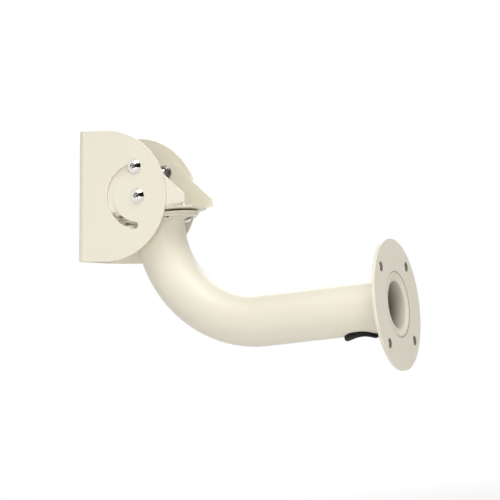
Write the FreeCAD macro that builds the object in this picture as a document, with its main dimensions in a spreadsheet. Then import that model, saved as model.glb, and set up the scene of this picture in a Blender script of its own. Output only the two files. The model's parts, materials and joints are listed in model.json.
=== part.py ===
import FreeCAD, Part
import math
import os
import Sketcher

# Camera housing bracket for a wall, in millimetres.
# The origin is the centre of the wall flange's wall face. +X points into the wall and +Z up,
# so the arm runs out along -X and then bends up to the head, which pans and tilts.

VECTOR = FreeCAD.Vector
NORMAL = VECTOR(0, 0, 1)

doc = FreeCAD.newDocument("CameraBracket")

# Driving sizes: name, value, what it is
SIZES = [
    ("flange_diameter", 120.0, "wall flange, outside"),
    ("flange_thickness", 3.0, "wall flange, sheet"),
    ("flange_hole_diameter", 9.0, "screw holes in the wall flange"),
    ("flange_hole_circle", 96.5, "pitch circle of the screw holes"),
    ("flange_hole_count", 4, "screw holes in the wall flange"),
    ("tube_diameter", 48.0, "arm tube, outside"),
    ("tube_wall", 2.3, "arm tube, wall"),
    ("tube_recess", 1.8, "tube end behind the wall face"),
    ("arm_run", 132.0, "wall face to the start of the bend"),
    ("bend_radius", 99.5, "centre line of the bend"),
    ("head_rise", 8.8, "straight tube above the bend"),
    ("wall_weld_diameter", 60.5, "countersink and weld on the wall side"),
    ("countersink_depth", 2.2, "countersink in the flange"),
    ("arm_weld_leg", 3.0, "fillet weld on the arm side"),
    ("head_weld_leg", 1.2, "fillet weld under the head plate"),
    ("cable_hole_length", 27.4, "cable hole in the underside of the tube, along it"),
    ("cable_hole_width", 20.4, "cable hole, across the tube"),
    ("cable_hole_reach", 38.5, "middle of the cable hole from the wall face"),
    ("grommet_lip", 4.0, "rubber outside the tube wall"),
    ("grommet_inner_lip", 1.6, "rubber inside the tube wall"),
    ("grommet_overlap", 2.3, "rubber over the rim of the cable hole"),
    ("grommet_lining", 2.3, "rubber inside the cable hole"),
    ("plate_thickness", 2.3, "head plate and pan plate"),
    ("head_plate_diameter", 74.0, "plate welded on the tube"),
    ("pan_plate_diameter", 77.5, "plate that turns on the head plate"),
    ("cable_way_diameter", 20.0, "cable hole in the middle of the head"),
    ("washer_thickness", 1.8, "friction washer"),
    ("washer_diameter", 50.0, "friction washer, outside"),
    ("pan_screw_circle", 62.0, "pitch circle of the pan screws"),
    ("pan_screw_side_angle", 56.0, "two front pan screws, from the head's middle line"),
    ("pan_reach", 35.0, "pan travel each way, in degrees"),
    ("pan_slot_clearance", 0.5, "arc slots of the head plate over the pan screws"),
    ("screw_hole_clearance", 0.1, "holes over the screws, on the diameter"),
    ("pan_set", 6.0, "how far the head is panned, in degrees"),
    ("tilt_set", 7.0, "how far the camera mount is tilted, in degrees"),
    ("yoke_thickness", 2.3, "yoke sheet"),
    ("yoke_width", 78.0, "yoke, outside"),
    ("yoke_bend_radius", 5.5, "yoke bends, outside"),
    ("yoke_back", 39.0, "pan axis to the yoke's outer edge"),
    ("yoke_front", 42.4, "pan axis to the yoke's wall side edge"),
    ("yoke_corner_radius", 47.0, "round cut of the base's corners"),
    ("yoke_corner_height", 3.5, "height of that cut"),
    ("ear_top", 36.0, "pivot to the ears' top"),
    ("ear_slope_start", 7.0, "pan axis to the start of the ears' slope"),
    ("ear_slope_drop", 4.3, "pivot down to the end of the ears' slope"),
    ("pivot_rise", 15.6, "yoke's underside to the pivot"),
    ("pivot_offset", 3.2, "pan axis to the pivot"),
    ("mount_width", 83.0, "camera mount, outside"),
    ("mount_thickness", 2.3, "camera mount sheet"),
    ("mount_bend_radius", 7.5, "camera mount bends, outside"),
    ("web_distance", 62.2, "pivot to the web's outer face"),
    ("cheek_radius", 62.3, "round end of the cheeks"),
    ("cheek_centre", 33.8, "pivot to the centre of that round end"),
    ("slot_radius", 28.0, "lock slot, from the pivot"),
    ("slot_width", 6.6, "lock slot"),
    ("slot_sweep", 168.0, "lock slot, end centre to end centre, in degrees"),
    ("slot_play", 0.5, "lock slot before the lock screw, in degrees"),
    ("camera_hole_circle", 70.0, "pitch circle of the web's screw holes"),
    ("camera_hole_diameter", 6.5, "screw holes in the web"),
    ("camera_hole_count", 4, "screw holes in the web"),
    ("hole_start_angle", 45.0, "first hole of the flange's and the web's circle, in degrees"),
    ("edge_round", 0.4, "rounded edges under the paint"),
    ("cut_margin", 1.0, "how far a cutting outline passes the solid"),
    ("tilt_screw_diameter", 6.0, "pivot and lock screws"),
    ("tilt_screw_length", 12.0, "pivot and lock screws, under the head"),
    ("tilt_screw_head_diameter", 14.0, "truss head"),
    ("tilt_screw_head_height", 4.2, "truss head"),
    ("tilt_screw_rim", 0.8, "straight rim of the head"),
    ("tilt_screw_cross", 6.4, "cross recess, from end to end"),
    ("tilt_screw_cross_width", 1.5, "cross recess, each arm"),
    ("tilt_screw_cross_depth", 2.4, "cross recess"),
    ("tilt_nut_flats", 10.0, "flange nut, across the flats"),
    ("tilt_nut_height", 6.0, "flange nut"),
    ("tilt_nut_flange", 14.2, "flange nut, flange diameter"),
    ("tilt_nut_flange_edge", 1.0, "flange nut, edge of the flange"),
    ("nut_corner_angle", 30.0, "chamfer of the nuts' corners and slope of their flanges"),
    ("screw_tip", 0.5, "chamfer of the screws' ends"),
    ("pan_screw_diameter", 5.0, "pan screws"),
    ("pan_screw_length", 16.0, "pan screws, under the head"),
    ("pan_screw_head_diameter", 10.0, "pan head"),
    ("pan_screw_head_height", 3.4, "pan head"),
    ("pan_screw_rim", 1.4, "straight rim of the head"),
    ("pan_screw_cross", 5.4, "cross recess, from end to end"),
    ("pan_screw_cross_width", 1.3, "cross recess, each arm"),
    ("pan_screw_cross_depth", 2.0, "cross recess"),
    ("pan_nut_flats", 8.0, "pan nuts, across the flats"),
    ("pan_nut_height", 4.0, "pan nuts"),
]

sizes = doc.addObject("Spreadsheet::Sheet", "Sizes")
for row, (alias, value, note) in enumerate(SIZES, start=1):
    sizes.set(f"A{row}", alias)
    sizes.set(f"B{row}", str(value))
    sizes.set(f"C{row}", note)
    sizes.setAlias(f"B{row}", alias)
doc.recompute()


def size(text):
    """The formula's names, each written as a name of the sheet."""
    words = {alias for alias, _, _ in SIZES}
    out = ""
    word = ""
    for letter in text + " ":
        if letter.isalnum() or letter == "_":
            word += letter
            continue
        out += f"Sizes.{word}" if word in words else word
        out += letter
        word = ""
    return out.strip()


def number(text):
    """The formula's value now."""
    return float(sizes.evalExpression(size(text)))


# Formulas that more than one piece reads
TUBE_RADIUS = "(tube_diameter / 2)"
TUBE_BORE = "(tube_diameter / 2 - tube_wall)"
PAN_X = "(-arm_run - bend_radius)"
HEAD_PLATE_Z = "(bend_radius + head_rise)"
HEAD_Z = "(bend_radius + head_rise + plate_thickness)"
WASHER_Z = "plate_thickness"
YOKE_Z = "(plate_thickness + washer_thickness)"
PIVOT_Z = "(plate_thickness + washer_thickness + pivot_rise)"
SLOT_START = "(90 + tilt_set - slot_play)"
SLOT_END = "(90 + tilt_set - slot_play + slot_sweep)"
PAN_SCREW_ANGLES = ["-pan_screw_side_angle", "pan_screw_side_angle", "180"]


# The head's own frame stands on the head plate at the pan axis, and the camera mount's frame
# is at the pivot. Pieces of the head are placed from these two.
head_frame = doc.addObject("PartDesign::CoordinateSystem", "head_frame")
head_frame.setExpression("Placement", size(
    f"placement(vector({PAN_X}; 0; {HEAD_Z}); rotation(vector(0; 0; 1); pan_set))"))
pivot_frame = doc.addObject("PartDesign::CoordinateSystem", "pivot_frame")
pivot_frame.setExpression("Placement", size(
    f"head_frame.Placement * placement(vector(-pivot_offset; 0; {PIVOT_Z}); rotation(vector(0; 0; 1); 0))"))
doc.recompute()

pieces = []


def place(piece, formula):
    piece.setExpression("Placement", size(formula))


def at(x, y, z, turn="rotation(vector(0; 0; 1); 0)"):
    """A place in the formula language: a point and a turn."""
    return f"placement(vector({x}; {y}; {z}); {turn})"


def new_body(name):
    body = doc.addObject("PartDesign::Body", name)
    body.Label = name
    pieces.append(body)
    return body


def new_sketch(body, name, plane, height="0"):
    """A sketch on one of the body's own origin planes, raised along the plane's normal."""
    sketch = body.newObject("Sketcher::SketchObject", name)
    face = next(f for f in body.Origin.OriginFeatures if f.Role == plane)
    sketch.AttachmentSupport = (face, [""])
    sketch.MapMode = "FlatFace"
    sketch.setExpression("AttachmentOffset.Base.z", size(height))
    return sketch


def fix(sketch, kind, parts, formula):
    """A constraint whose value is a formula."""
    value = number(formula)
    if kind == "Angle":
        value = math.radians(value)
    index = sketch.addConstraint(Sketcher.Constraint(kind, *parts, value))
    sketch.setExpression(f"Constraints[{index}]", size(formula))


def fix_point(sketch, geometry, end, x, y):
    fix(sketch, "DistanceX", (-1, 1, geometry, end), x)
    fix(sketch, "DistanceY", (-1, 1, geometry, end), y)


def draw_circle(sketch, x, y, radius):
    centre = VECTOR(number(x), number(y), 0)
    circle = sketch.addGeometry(Part.Circle(centre, NORMAL, number(radius)), False)
    fix_point(sketch, circle, 3, x, y)
    fix(sketch, "Radius", (circle,), radius)


def draw_outline(sketch, corners):
    """A closed outline. A corner is x, y, or x, y, radius, turn where an arc of less than half
    a circle leads to it: turn is 1 for an anticlockwise arc and -1 for a clockwise one."""
    places = [(number(corner[0]), number(corner[1])) for corner in corners]
    edges = []
    for index, corner in enumerate(corners):
        start = VECTOR(*places[index - 1], 0)
        end = VECTOR(*places[index], 0)
        if len(corner) == 2:
            edge = sketch.addGeometry(Part.LineSegment(start, end), False)
            edges.append((edge, 1, 2))
            continue
        radius = number(corner[2])
        turn = corner[3]
        chord = end - start
        across = VECTOR(-chord.y, chord.x, 0).normalize() * turn
        rise = math.sqrt(max(radius ** 2 - chord.Length ** 2 / 4, 0))
        centre = (start + end) / 2 + across * rise
        first, last = (start, end) if turn > 0 else (end, start)
        first_angle = math.atan2(first.y - centre.y, first.x - centre.x)
        last_angle = math.atan2(last.y - centre.y, last.x - centre.x)
        circle = Part.Circle(centre, NORMAL, radius)
        edge = sketch.addGeometry(Part.ArcOfCircle(circle, first_angle, last_angle), False)
        edges.append((edge, 1, 2) if turn > 0 else (edge, 2, 1))
    for index, corner in enumerate(corners):
        edge, start_end, end_end = edges[index]
        before, _, before_end = edges[index - 1]
        sketch.addConstraint(Sketcher.Constraint("Coincident", before, before_end, edge, start_end))
        fix_point(sketch, edge, end_end, corner[0], corner[1])
        if len(corner) == 4:
            fix(sketch, "Radius", (edge,), corner[2])


def draw_obround(sketch, x, length, width):
    """A slot with round ends along the sketch's X axis, round the point x, 0."""
    radius = f"{width} / 2"
    end = f"{length} / 2"
    straight = f"({length} - {width}) / 2"
    draw_outline(sketch, [
        (f"{x} + {straight}", f"-({radius})"),
        (f"{x} + {end}", "0", radius, 1),
        (f"{x} + {straight}", radius, radius, 1),
        (f"{x} - {straight}", radius),
        (f"{x} - {end}", "0", radius, 1),
        (f"{x} - {straight}", f"-({radius})", radius, 1)])


def draw_arc_slot(sketch, radius, width, start, end):
    """A slot with round ends along an arc round the sketch's origin."""
    first = math.radians(number(start))
    last = math.radians(number(end))
    middle = number(radius)
    half = number(width) / 2
    origin = VECTOR(0, 0, 0)
    first_centre = VECTOR(math.cos(first), math.sin(first), 0) * middle
    last_centre = VECTOR(math.cos(last), math.sin(last), 0) * middle

    def arc(centre, size_now, from_angle, to_angle):
        circle = Part.Circle(centre, NORMAL, size_now)
        return sketch.addGeometry(Part.ArcOfCircle(circle, from_angle, to_angle), False)

    outer = arc(origin, middle + half, first, last)
    inner = arc(origin, middle - half, first, last)
    first_cap = arc(first_centre, half, first + math.pi, first + 2 * math.pi)
    last_cap = arc(last_centre, half, last, last + math.pi)
    joints = [(outer, 2, last_cap, 1), (last_cap, 2, inner, 2), (inner, 1, first_cap, 1), (first_cap, 2, outer, 1)]
    for joint in joints:
        sketch.addConstraint(Sketcher.Constraint("Tangent", *joint))
    sketch.addConstraint(Sketcher.Constraint("Coincident", outer, 3, -1, 1))
    sketch.addConstraint(Sketcher.Constraint("Coincident", inner, 3, -1, 1))
    for cap, centre, angle in ((first_cap, first_centre, start), (last_cap, last_centre, end)):
        ray = sketch.addGeometry(Part.LineSegment(origin, centre), True)
        sketch.addConstraint(Sketcher.Constraint("Coincident", ray, 1, -1, 1))
        sketch.addConstraint(Sketcher.Constraint("Coincident", ray, 2, cap, 3))
        fix(sketch, "Angle", (ray,), angle)
    fix(sketch, "Radius", (outer,), f"{radius} + {width} / 2")
    fix(sketch, "Radius", (first_cap,), f"{width} / 2")


def pad(body, sketch, length, middle=False):
    feature = body.newObject("PartDesign::Pad", sketch.Name + "_pad")
    feature.Profile = sketch
    feature.setExpression("Length", size(length))
    if middle:
        feature.SideType = "Symmetric"
    sketch.Visibility = False
    doc.recompute()
    return feature


def pocket(body, sketch, depth=None, upwards=False):
    """A cut: through everything both ways, or to a depth. It has to take material away."""
    before = body.Shape.Volume
    feature = body.newObject("PartDesign::Pocket", sketch.Name + "_pocket")
    feature.Profile = sketch
    if depth is None:
        feature.Type = "ThroughAll"
        feature.SideType = "Symmetric"
    else:
        feature.setExpression("Length", size(depth))
        feature.Reversed = upwards
    doc.recompute()
    if body.Shape.Volume >= before:
        raise RuntimeError(f"{sketch.Name} cuts nothing")
    return feature


def revolve(body, sketch, axis):
    feature = body.newObject("PartDesign::Revolution", sketch.Name + "_revolution")
    feature.Profile = sketch
    feature.ReferenceAxis = (sketch, [axis])
    feature.Angle = 360
    doc.recompute()
    return feature


def round_pattern(body, feature, axis_role, count):
    """Copies of a cut round one of the body's axes."""
    pattern = body.newObject("PartDesign::PolarPattern", feature.Name + "_pattern")
    pattern.Originals = [feature]
    axis = next(f for f in body.Origin.OriginFeatures if f.Role == axis_role)
    pattern.Axis = (axis, [""])
    pattern.Angle = 360
    pattern.setExpression("Occurrences", size(count))
    body.Tip = pattern
    doc.recompute()
    return pattern


def round_edges(body, base, radius, chosen):
    """Fillets on the edges for which chosen(edge) is true."""
    names = [f"Edge{i}" for i, edge in enumerate(base.Shape.Edges, start=1) if chosen(edge)]
    if not names:
        raise RuntimeError(f"{body.Name}: no edge to round")
    feature = body.newObject("PartDesign::Fillet", f"{base.Name}_round")
    feature.Base = (base, names)
    feature.setExpression("Radius", size(radius))
    doc.recompute()
    return feature


def near(a, b):
    return abs(a - b) < 1e-4


def edge_along(edge, axis, **places):
    """A straight edge along an axis, at the given coordinates, whose signs don't matter."""
    if not isinstance(edge.Curve, Part.Line) or not near(abs(edge.Curve.Direction.dot(axis)), 1):
        return False
    middle = edge.CenterOfMass
    return all(near(abs(getattr(middle, name)), abs(value)) for name, value in places.items())


# The wall flange: a round plate, with a countersink round the tube for the weld.
def build_wall_flange():
    body = new_body("wall_flange")
    disc = new_sketch(body, "flange_disc", "YZ_Plane", "-flange_thickness")
    draw_circle(disc, "0", "0", "flange_diameter / 2")
    draw_circle(disc, "0", "0", TUBE_RADIUS)
    pad(body, disc, "flange_thickness")
    sink = new_sketch(body, "flange_countersink", "XZ_Plane")
    draw_outline(sink, [
        ("-countersink_depth", TUBE_RADIUS),
        ("0", TUBE_RADIUS),
        ("0", "wall_weld_diameter / 2")])
    groove = body.newObject("PartDesign::Groove", "flange_countersink_groove")
    groove.Profile = sink
    groove.ReferenceAxis = (sink, ["H_Axis"])
    groove.Angle = 360
    doc.recompute()
    hole = new_sketch(body, "flange_screw_hole", "YZ_Plane")
    across = "flange_hole_circle / 2 * cos(hole_start_angle)"
    draw_circle(hole, across, across, "flange_hole_diameter / 2")
    cut = pocket(body, hole)
    drilled = round_pattern(body, cut, "X_Axis", "flange_hole_count")
    rim = number("flange_diameter / 2")
    body.Tip = round_edges(body, drilled, "edge_round", lambda edge: (
        isinstance(edge.Curve, Part.Circle) and near(edge.Curve.Radius, rim)))


# The arm: one round tube, straight from the wall, bent up and straight again under the head.
def build_arm_tube():
    body = new_body("arm_tube")
    path = new_sketch(body, "tube_path", "XZ_Plane")
    bend_start = VECTOR(-number("arm_run"), 0, 0)
    bend_end = VECTOR(number(PAN_X), number("bend_radius"), 0)
    top = VECTOR(number(PAN_X), number(HEAD_PLATE_Z), 0)
    centre = VECTOR(-number("arm_run"), number("bend_radius"), 0)
    run = path.addGeometry(Part.LineSegment(VECTOR(-number("tube_recess"), 0, 0), bend_start), False)
    bend_circle = Part.Circle(centre, NORMAL, number("bend_radius"))
    bend = path.addGeometry(Part.ArcOfCircle(bend_circle, math.pi, 1.5 * math.pi), False)
    rise = path.addGeometry(Part.LineSegment(bend_end, top), False)
    path.addConstraint(Sketcher.Constraint("Tangent", run, 2, bend, 2))
    path.addConstraint(Sketcher.Constraint("Tangent", bend, 1, rise, 1))
    fix_point(path, run, 1, "-tube_recess", "0")
    fix_point(path, run, 2, "-arm_run", "0")
    fix(path, "Radius", (bend,), "bend_radius")
    fix_point(path, rise, 2, PAN_X, HEAD_PLATE_Z)
    ring = new_sketch(body, "tube_section", "YZ_Plane", "-tube_recess")
    draw_circle(ring, "0", "0", TUBE_RADIUS)
    draw_circle(ring, "0", "0", TUBE_BORE)
    doc.recompute()
    pipe = body.newObject("PartDesign::AdditivePipe", "tube_pipe")
    pipe.Profile = ring
    pipe.Spine = (path, ["Edge1", "Edge2", "Edge3"])
    doc.recompute()
    section = math.pi * (number(TUBE_RADIUS) ** 2 - number(TUBE_BORE) ** 2)
    length = number(f"arm_run - tube_recess + bend_radius * {math.pi} / 2 + head_rise")
    if abs(pipe.Shape.Volume / (section * length) - 1) > 0.001:
        raise RuntimeError("the tube's volume isn't its section times its length")
    hole = new_sketch(body, "tube_cable_hole", "XY_Plane")
    draw_obround(hole, "-cable_hole_reach", "cable_hole_length", "cable_hole_width")
    pocket(body, hole, "tube_diameter")


# Weld beads are rings: a filled countersink at the wall, and small fillets elsewhere.
def build_weld(name, corners, plane, axis, formula):
    body = new_body(name)
    section = new_sketch(body, name + "_section", plane)
    draw_outline(section, corners)
    revolve(body, section, axis)
    place(body, formula)


def build_welds():
    build_weld("wall_side_weld", [
        ("-tube_recess", TUBE_BORE),
        ("-tube_recess", TUBE_RADIUS),
        ("-countersink_depth", TUBE_RADIUS),
        ("0", "wall_weld_diameter / 2")], "XZ_Plane", "H_Axis", at("0", "0", "0"))
    build_weld("arm_side_weld", [
        ("-flange_thickness", TUBE_RADIUS),
        ("-flange_thickness", TUBE_RADIUS + " + arm_weld_leg"),
        ("-flange_thickness - arm_weld_leg", TUBE_RADIUS, "arm_weld_leg", -1)],
        "XZ_Plane", "H_Axis", at("0", "0", "0"))
    build_weld("head_weld", [
        (TUBE_RADIUS, "0"),
        (TUBE_RADIUS, "-head_weld_leg"),
        (TUBE_RADIUS + " + head_weld_leg", "0", "head_weld_leg", -1)],
        "XZ_Plane", "V_Axis", at(PAN_X, "0", HEAD_PLATE_Z))


def cylinder(name, radius, height, formula):
    part = doc.addObject("Part::Cylinder", name)
    part.setExpression("Radius", size(radius))
    part.setExpression("Height", size(height))
    place(part, formula)
    return part


def cut(name, base, tool):
    part = doc.addObject("Part::Cut", name)
    part.Base = base
    part.Tool = tool
    return part


def prism(name, *outlines):
    """Slot outlines, each a length and a width, round the cable hole's middle and down through the tube."""
    body = doc.addObject("PartDesign::Body", name)
    outline = new_sketch(body, name + "_outline", "XY_Plane")
    for length, width in outlines:
        draw_obround(outline, "-cable_hole_reach", length, width)
    feature = pad(body, outline, "tube_diameter")
    feature.Reversed = True
    doc.recompute()
    return body


# The rubber trim of the cable hole: a ring with a groove round it, which grips the hole's rim.
# It follows the round tube inside and outside.
def build_cable_grommet():
    along = "rotation(vector(0; 1; 0); 90)"
    span = "cable_hole_length + 4 * grommet_overlap"
    back = f"-cable_hole_reach - ({span}) / 2"
    collar = prism(
        "grommet_collar",
        ("(cable_hole_length + 2 * grommet_overlap)", "(cable_hole_width + 2 * grommet_overlap)"),
        ("(cable_hole_length - 2 * grommet_lining)", "(cable_hole_width - 2 * grommet_lining)"))
    hole = prism("grommet_hole", ("cable_hole_length", "cable_hole_width"))
    crown = cylinder("grommet_crown", f"{TUBE_RADIUS} + grommet_lip", span, at(back, "0", "0", along))
    under = cylinder("grommet_under", f"{TUBE_BORE} - grommet_inner_lip", span, at(back, "0", "0", along))
    wall_out = cylinder("grommet_wall_out", TUBE_RADIUS, span, at(back, "0", "0", along))
    wall_in = cylinder("grommet_wall_in", TUBE_BORE, span, at(back, "0", "0", along))
    blank = doc.addObject("Part::Common", "grommet_blank")
    blank.Base = collar
    blank.Tool = cut("grommet_shell", crown, under)
    rim = cut("grommet_rim", cut("grommet_wall", wall_out, wall_in), hole)
    grommet = cut("cable_grommet", blank, rim)
    grommet.Label = "cable_grommet"
    doc.recompute()
    pieces.append(grommet)


# The plate welded on the tube. Its three arc slots guide the pan screws.
def build_head_plate():
    body = new_body("head_plate")
    disc = new_sketch(body, "head_disc", "XY_Plane")
    draw_circle(disc, "0", "0", "head_plate_diameter / 2")
    draw_circle(disc, "0", "0", "cable_way_diameter / 2")
    solid = pad(body, disc, "plate_thickness")
    rim = number("head_plate_diameter / 2")
    body.Tip = round_edges(body, solid, "edge_round", lambda edge: (
        isinstance(edge.Curve, Part.Circle) and near(edge.Curve.Radius, rim)))
    slots = new_sketch(body, "head_slots", "XY_Plane")
    for angle in PAN_SCREW_ANGLES:
        draw_arc_slot(slots, "pan_screw_circle / 2", "(pan_screw_diameter + pan_slot_clearance)",
                      f"{angle} - pan_reach", f"{angle} + pan_reach")
    pocket(body, slots)
    place(body, at(PAN_X, "0", HEAD_PLATE_Z))


def draw_pan_screw_holes(sketch):
    for angle in PAN_SCREW_ANGLES:
        draw_circle(sketch, f"pan_screw_circle / 2 * cos({angle})", f"pan_screw_circle / 2 * sin({angle})",
                    "(pan_screw_diameter + screw_hole_clearance) / 2")


# The plate that turns on the head plate, with the yoke.
def build_pan_plate():
    body = new_body("pan_plate")
    disc = new_sketch(body, "pan_disc", "XY_Plane")
    draw_circle(disc, "0", "0", "pan_plate_diameter / 2")
    draw_circle(disc, "0", "0", "cable_way_diameter / 2")
    solid = pad(body, disc, "plate_thickness")
    rim = number("pan_plate_diameter / 2")
    body.Tip = round_edges(body, solid, "edge_round", lambda edge: (
        isinstance(edge.Curve, Part.Circle) and near(edge.Curve.Radius, rim)))
    holes = new_sketch(body, "pan_plate_holes", "XY_Plane")
    draw_pan_screw_holes(holes)
    pocket(body, holes)
    place(body, "head_frame.Placement * " + at("0", "0", "0"))


def build_friction_washer():
    body = new_body("friction_washer")
    ring = new_sketch(body, "washer_ring", "XY_Plane")
    draw_circle(ring, "0", "0", "washer_diameter / 2")
    draw_circle(ring, "0", "0", "cable_way_diameter / 2")
    pad(body, ring, "washer_thickness")
    place(body, "head_frame.Placement * " + at("0", "0", WASHER_Z))


# The yoke: a strip folded up into two ears, with sloped ears and round cut base corners.
def build_yoke():
    body = new_body("yoke")
    fold = new_sketch(body, "yoke_fold", "YZ_Plane", "-yoke_back")
    half = "yoke_width / 2"
    top = "pivot_rise + ear_top"
    draw_outline(fold, [
        ("-" + half, top),
        ("-" + half, "0"),
        (half, "0"),
        (half, top),
        (half + " - yoke_thickness", top),
        (half + " - yoke_thickness", "yoke_thickness"),
        ("-" + half + " + yoke_thickness", "yoke_thickness"),
        ("-" + half + " + yoke_thickness", top)])
    blank = pad(body, fold, "yoke_back + yoke_front")
    along = VECTOR(1, 0, 0)
    outer = round_edges(body, blank, "yoke_bend_radius", lambda edge: (
        edge_along(edge, along, y=number(half), z=0)))
    inner = round_edges(body, outer, "yoke_bend_radius - yoke_thickness", lambda edge: (
        edge_along(edge, along, y=number(half + " - yoke_thickness"), z=number("yoke_thickness"))))
    body.Tip = inner
    slope = new_sketch(body, "ear_slope", "XZ_Plane")
    draw_outline(slope, [
        ("ear_slope_start", top),
        ("yoke_front", "pivot_rise - ear_slope_drop"),
        ("yoke_front + cut_margin", "pivot_rise - ear_slope_drop"),
        ("yoke_front + cut_margin", top + " + cut_margin"),
        ("ear_slope_start", top + " + cut_margin")])
    pocket(body, slope)
    corners = new_sketch(body, "yoke_corners", "XY_Plane")
    draw_circle(corners, "0", "0", "yoke_corner_radius")
    draw_circle(corners, "0", "0", "yoke_corner_radius + yoke_width / 2")
    pocket(body, corners, "yoke_corner_height", upwards=True)
    base = new_sketch(body, "yoke_base_holes", "XY_Plane")
    draw_circle(base, "0", "0", "cable_way_diameter / 2")
    draw_pan_screw_holes(base)
    pocket(body, base, "yoke_thickness + yoke_corner_height", upwards=True)
    ears = new_sketch(body, "ear_holes", "XZ_Plane")
    for z in ("pivot_rise", "pivot_rise + slot_radius"):
        draw_circle(ears, "-pivot_offset", z, "(tilt_screw_diameter + screw_hole_clearance) / 2")
    pocket(body, ears)
    place(body, "head_frame.Placement * " + at("0", "0", YOKE_Z))


# The camera mount: a folded U. Its web carries the camera housing, and its two round cheeks
# turn on the pivot screws, with an arc slot each for the lock screws.
def build_camera_mount():
    body = new_body("camera_mount")
    side = new_sketch(body, "cheek_outline", "XZ_Plane")
    draw_outline(side, [
        ("-web_distance", "cheek_radius"),
        ("-web_distance", "-cheek_radius"),
        ("-cheek_centre", "-cheek_radius"),
        ("cheek_radius - cheek_centre", "0", "cheek_radius", 1),
        ("-cheek_centre", "cheek_radius", "cheek_radius", 1)])
    pad(body, side, "mount_width", middle=True)
    inside = new_sketch(body, "mount_inside", "XY_Plane")
    half = "mount_width / 2 - mount_thickness"
    draw_outline(inside, [
        ("mount_thickness - web_distance", half),
        ("mount_thickness - web_distance", f"-({half})"),
        ("cheek_radius", f"-({half})"),
        ("cheek_radius", half)])
    hollow = pocket(body, inside)
    upright = VECTOR(0, 0, 1)
    outer = round_edges(body, hollow, "mount_bend_radius", lambda edge: edge_along(
        edge, upright, x=number("web_distance"), y=number("mount_width / 2")))
    inner = round_edges(body, outer, "mount_bend_radius - mount_thickness", lambda edge: edge_along(
        edge, upright, x=number("web_distance - mount_thickness"), y=number(half)))
    reach = number("cheek_radius")
    outside = number("mount_width / 2")
    body.Tip = round_edges(body, inner, "edge_round", lambda edge: (
        isinstance(edge.Curve, Part.Circle) and near(edge.Curve.Radius, reach)
        and near(abs(edge.CenterOfMass.y), outside)))
    slots = new_sketch(body, "lock_slots", "XZ_Plane")
    draw_arc_slot(slots, "slot_radius", "slot_width", SLOT_START, SLOT_END)
    pocket(body, slots)
    pivots = new_sketch(body, "pivot_holes", "XZ_Plane")
    draw_circle(pivots, "0", "0", "(tilt_screw_diameter + screw_hole_clearance) / 2")
    pocket(body, pivots)
    hole = new_sketch(body, "camera_screw_hole", "YZ_Plane", "-web_distance")
    across = "camera_hole_circle / 2 * cos(hole_start_angle)"
    draw_circle(hole, across, across, "camera_hole_diameter / 2")
    drilled = pocket(body, hole, "mount_bend_radius", upwards=True)
    round_pattern(body, drilled, "X_Axis", "camera_hole_count")
    place(body, "pivot_frame.Placement * " + at("0", "0", "0", "rotation(vector(0; 1; 0); tilt_set)"))


# A screw stands head up on its own origin, which is the middle of the head's seat.
def build_screw(name, kind, formula):
    body = new_body(name)
    profile = new_sketch(body, name + "_profile", "XZ_Plane")
    radius = f"{kind}_diameter / 2"
    head = f"{kind}_head_diameter / 2"
    dome = f"({kind}_head_height - {kind}_rim)"
    dome_radius = f"((({head}) ^ 2 + {dome} ^ 2) / (2 * {dome}))"
    draw_outline(profile, [
        ("0", f"-{kind}_length"),
        (f"{radius} - screw_tip", f"-{kind}_length"),
        (radius, f"-{kind}_length + screw_tip"),
        (radius, "0"),
        (head, "0"),
        (head, f"{kind}_rim"),
        ("0", f"{kind}_head_height", dome_radius, 1)])
    revolve(body, profile, "V_Axis")
    cross = new_sketch(body, name + "_cross", "XY_Plane", f"{kind}_head_height")
    end = f"{kind}_cross / 2"
    side = f"{kind}_cross_width / 2"
    arm = [(end, f"-({side})"), (end, side), (side, side)]
    corners = []
    for turn in range(4):
        corners += arm
        arm = [(f"-({y})", x) for x, y in arm]
    draw_outline(cross, corners)
    pocket(body, cross, f"{kind}_cross_depth")
    place(body, formula)


def draw_hexagon(sketch, flats):
    corners = []
    for turn in range(6):
        angle = 60 * turn
        corners.append((f"{flats} / sqrt(3) * cos({angle})", f"{flats} / sqrt(3) * sin({angle})"))
    draw_outline(sketch, corners)


def chamfer_nut(body, name, flats, height):
    """Turns the top of the six corners off."""
    turned = new_sketch(body, name + "_turned", "XZ_Plane")
    outer = f"({flats} / sqrt(3) + cut_margin)"
    inner = f"{flats} / 2"
    drop = f"({outer} - {inner}) * tan(nut_corner_angle)"
    draw_outline(turned, [
        (inner, height),
        (outer, f"{height} - {drop}"),
        (outer, f"{height} + cut_margin"),
        (inner, f"{height} + cut_margin")])
    groove = body.newObject("PartDesign::Groove", name + "_groove")
    groove.Profile = turned
    groove.ReferenceAxis = (turned, ["V_Axis"])
    groove.Angle = 360
    doc.recompute()


# A flange nut stands on its flange, at its own origin.
def build_flange_nut(name, formula):
    body = new_body(name)
    hexagon = new_sketch(body, name + "_hexagon", "XY_Plane")
    draw_hexagon(hexagon, "tilt_nut_flats")
    pad(body, hexagon, "tilt_nut_height")
    chamfer_nut(body, name, "tilt_nut_flats", "tilt_nut_height")
    skirt = new_sketch(body, name + "_skirt", "XZ_Plane")
    slope = "(tilt_nut_flange / 2 - tilt_nut_flats / 2) * tan(nut_corner_angle)"
    draw_outline(skirt, [
        ("0", "0"),
        ("tilt_nut_flange / 2", "0"),
        ("tilt_nut_flange / 2", "tilt_nut_flange_edge"),
        ("tilt_nut_flats / 2", f"tilt_nut_flange_edge + {slope}"),
        ("0", f"tilt_nut_flange_edge + {slope}")])
    revolve(body, skirt, "V_Axis")
    bore = new_sketch(body, name + "_bore", "XY_Plane")
    draw_circle(bore, "0", "0", "tilt_screw_diameter / 2")
    pocket(body, bore)
    place(body, formula)


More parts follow.
